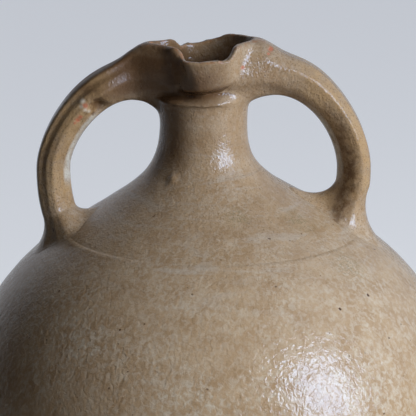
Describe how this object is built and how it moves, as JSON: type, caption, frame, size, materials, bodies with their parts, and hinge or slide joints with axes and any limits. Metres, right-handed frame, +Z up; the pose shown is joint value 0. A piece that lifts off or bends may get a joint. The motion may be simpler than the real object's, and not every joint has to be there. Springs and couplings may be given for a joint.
{
  "type": "jug",
  "caption": "Round glazed stoneware jug with a short neck, a pinched mouth with a lobe over each handle, and pulled strap handles from mouth to shoulder.",
  "frame": {"origin": "middle of the flat foot, at the height the jug stands on", "axes": "+Z up; +X towards the right handle; -Y towards the front, where the lip is lowest"},
  "size_m": [0.304, 0.304, 0.3849],
  "materials": {
    "glaze": "glossy mottled tan ash glaze over red clay"
  },
  "bodies": {
    "root": {"lower_body": "glaze", "shoulder": "glaze", "neck": "glaze", "mouth_collar": "glaze", "left_handle": "glaze", "right_handle": "glaze"}
  },
  "joints": []
}
